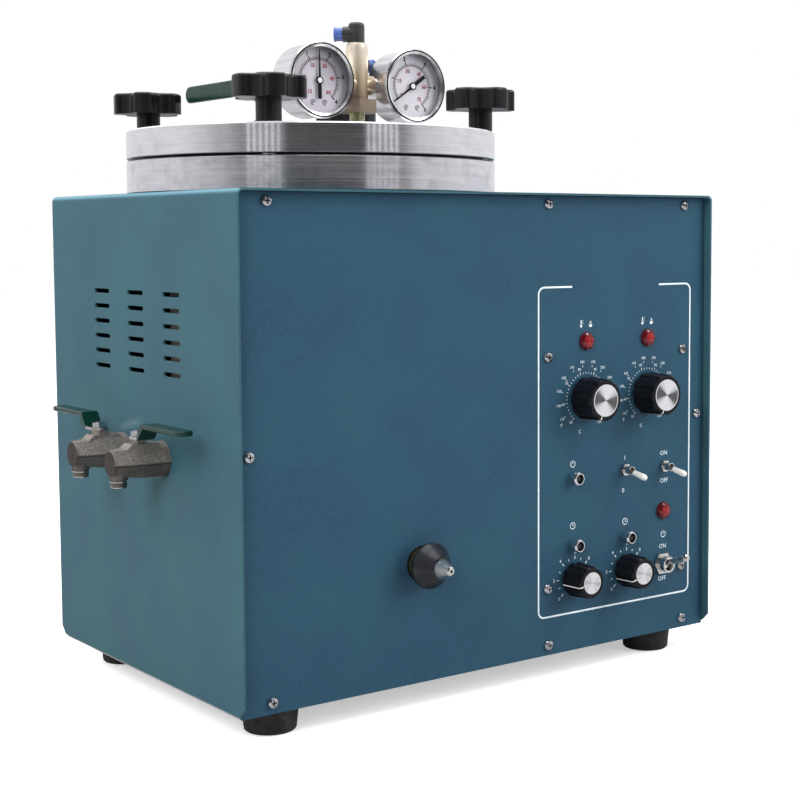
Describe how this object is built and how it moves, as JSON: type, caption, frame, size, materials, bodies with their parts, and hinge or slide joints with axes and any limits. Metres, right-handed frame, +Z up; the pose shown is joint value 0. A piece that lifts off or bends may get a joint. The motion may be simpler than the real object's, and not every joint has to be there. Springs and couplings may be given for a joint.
{
  "type": "jewelry wax injector",
  "caption": "Vacuum wax injector with a clamped round pot lid, gauges, sprung nozzle, side drain valves and a control panel in a teal sheet-metal case",
  "frame": {"origin": "on the floor plane under the middle of the whole object's box", "axes": "+X to the right and +Y to the back of the machine, +Z up; the nozzle and controls face -Y"},
  "size_m": [0.4424, 0.3116, 0.47],
  "materials": {
    "case_paint": "teal fine-texture powder coat",
    "bare_sheet": "zinc-plated sheet",
    "foot_rubber": "black moulded rubber",
    "screw_steel": "plated steel screws",
    "pot_aluminium": "turned aluminium",
    "lid_aluminium": "turned aluminium",
    "gasket_silicone": "red silicone",
    "heater_steel": "heat-stained steel",
    "felt": "mineral felt",
    "brass_parts": "pale machined brass",
    "block_brass": "machined brass",
    "black_fitting": "black moulded plastic",
    "blue_ring": "blue moulded plastic",
    "gauge_steel": "bright steel",
    "dial_white": "white printed dial",
    "lens_glass": "clear lens",
    "valve_nickel": "nickel-plated cast brass",
    "green_vinyl": "green dipped vinyl",
    "ball_chrome": "polished ball and stem",
    "black_plastic": "black moulded plastic",
    "nozzle_steel": "polished steel",
    "spring_steel": "spring steel",
    "lamp_red": "red lamp",
    "chrome_trim": "chromed bezel",
    "switch_metal": "plated bushing",
    "motor_paint": "dark enamel",
    "transformer_iron": "laminated core",
    "board_green": "glass-fibre board",
    "coil_black": "moulded coil",
    "needle_black": "black pointer",
    "knob_black": "black moulded knob",
    "toggle_steel": "plated lever"
  },
  "bodies": {
    "case": {"cover": "case_paint", "front_panel": "case_paint", "back_panel": "case_paint", "bottom_pan": "bare_sheet", "rubber_feet": "foot_rubber", "case_screws": "screw_steel", "control_frame": "bare_sheet", "wax_pot": "pot_aluminium", "pot_gasket": "gasket_silicone", "heater_band": "heater_steel", "pot_insulation": "felt", "pot_legs": "bare_sheet", "lid_studs": "screw_steel", "side_valve_bodies": "valve_nickel", "injector_block": "block_brass", "block_heater": "heater_steel", "nozzle_switch": "black_plastic", "nozzle_spring": "spring_steel", "indicator_lamps": "lamp_red", "led_bezels": "chrome_trim", "dial_potentiometers": "heater_steel", "toggle_bodies": "switch_metal", "pump_mounts": "foot_rubber", "pump_motor": "motor_paint", "pump_head": "lid_aluminium", "transformer": "transformer_iron", "control_board": "board_green", "solenoid_valves": "coil_black", "air_ports": "black_fitting", "power_inlet": "black_plastic"},
    "lid": {"lid_plate": "lid_aluminium", "gauge_manifold": "brass_parts", "elbow_fittings": "black_fitting", "release_rings": "blue_ring", "gauge_cases": "gauge_steel", "gauge_dials": "dial_white", "gauge_lenses": "lens_glass", "lid_valve_body": "valve_nickel", "lid_plug": "brass_parts"},
    "knob_back_right": {"star_knob_back_right": "knob_black"},
    "knob_back_left": {"star_knob_back_left": "knob_black"},
    "knob_front_left": {"star_knob_front_left": "knob_black"},
    "knob_front_right": {"star_knob_front_right": "knob_black"},
    "lid_valve": {"lid_valve_lever": "green_vinyl", "lid_valve_ball": "ball_chrome"},
    "needle_left": {"gauge_needle_left": "needle_black"},
    "needle_right": {"gauge_needle_right": "needle_black"},
    "side_valve_rear": {"side_lever_rear": "green_vinyl", "side_ball_rear": "ball_chrome"},
    "side_valve_front": {"side_lever_front": "green_vinyl", "side_ball_front": "ball_chrome"},
    "nozzle": {"injection_nozzle": "nozzle_steel", "nozzle_collar": "black_plastic"},
    "temp_dial_1_body": {"temp_dial_1": "knob_black"},
    "temp_dial_2_body": {"temp_dial_2": "knob_black"},
    "time_dial_1_body": {"time_dial_1": "knob_black"},
    "time_dial_2_body": {"time_dial_2": "knob_black"},
    "mode_switch": {"toggle_mode": "toggle_steel"},
    "vacuum_switch": {"toggle_vacuum": "toggle_steel"},
    "power_switch": {"toggle_power": "toggle_steel"}
  },
  "joints": [
    {"name": "lid_lift", "type": "slide", "parent": "case", "child": "lid", "axis": [0, 0, 1], "range_m": [0, 0.06]},
    {"name": "turn_knob_back_right", "type": "hinge", "parent": "lid", "child": "knob_back_right", "pos_m": [0.04109, 0.09449, 0.3983], "axis": [0, 0, 1], "continuous": true},
    {"name": "turn_knob_back_left", "type": "hinge", "parent": "lid", "child": "knob_back_left", "pos_m": [-0.13059, 0.09449, 0.3983], "axis": [0, 0, 1], "continuous": true},
    {"name": "turn_knob_front_left", "type": "hinge", "parent": "lid", "child": "knob_front_left", "pos_m": [-0.13059, -0.07719, 0.3983], "axis": [0, 0, 1], "continuous": true},
    {"name": "turn_knob_front_right", "type": "hinge", "parent": "lid", "child": "knob_front_right", "pos_m": [0.04109, -0.07719, 0.3983], "axis": [0, 0, 1], "continuous": true},
    {"name": "lid_valve_turn", "type": "hinge", "parent": "lid", "child": "lid_valve", "pos_m": [-0.08329, 0.00865, 0.4185], "axis": [1, 0, 0], "range_deg": [0, 90]},
    {"name": "needle_left_turn", "type": "hinge", "parent": "lid", "child": "needle_left", "pos_m": [-0.04657, -0.00335, 0.4252], "axis": [0, 1, 0], "range_deg": [-135, 135]},
    {"name": "needle_right_turn", "type": "hinge", "parent": "lid", "child": "needle_right", "pos_m": [0.03416, -0.00335, 0.4252], "axis": [0, 1, 0], "range_deg": [0, 270]},
    {"name": "side_valve_rear_turn", "type": "hinge", "parent": "case", "child": "side_valve_rear", "pos_m": [-0.20095, 0.03365, 0.1697], "axis": [0, 0, 1], "range_deg": [0, 90]},
    {"name": "side_valve_front_turn", "type": "hinge", "parent": "case", "child": "side_valve_front", "pos_m": [-0.20095, -0.02535, 0.1697], "axis": [0, 0, 1], "range_deg": [-90, 0]},
    {"name": "nozzle_press", "type": "slide", "parent": "case", "child": "nozzle", "axis": [0, 1, 0], "range_m": [0, 0.005], "stiffness_N_per_m": 800, "springref_m": -0.003, "deforming": ["nozzle_spring"]},
    {"name": "temp_dial_1_turn", "type": "hinge", "parent": "case", "child": "temp_dial_1_body", "pos_m": [0.10075, -0.13085, 0.199], "axis": [0, 1, 0], "range_deg": [0, 300]},
    {"name": "temp_dial_2_turn", "type": "hinge", "parent": "case", "child": "temp_dial_2_body", "pos_m": [0.16075, -0.13085, 0.199], "axis": [0, 1, 0], "range_deg": [0, 300]},
    {"name": "time_dial_1_turn", "type": "hinge", "parent": "case", "child": "time_dial_1_body", "pos_m": [0.08975, -0.13085, 0.0695], "axis": [0, 1, 0], "range_deg": [-35, 235]},
    {"name": "time_dial_2_turn", "type": "hinge", "parent": "case", "child": "time_dial_2_body", "pos_m": [0.14025, -0.13085, 0.0695], "axis": [0, 1, 0], "range_deg": [-35, 235]},
    {"name": "mode_flip", "type": "hinge", "parent": "case", "child": "mode_switch", "pos_m": [0.13875, -0.127, 0.144], "axis": [-1, 0, 0], "range_deg": [0, 24]},
    {"name": "vacuum_flip", "type": "hinge", "parent": "case", "child": "vacuum_switch", "pos_m": [0.17875, -0.127, 0.143], "axis": [-1, 0, 0], "range_deg": [0, 24]},
    {"name": "power_flip", "type": "hinge", "parent": "case", "child": "power_switch", "pos_m": [0.17675, -0.12555, 0.0695], "axis": [-1, 0, 0], "range_deg": [-39, 0]}
  ]
}
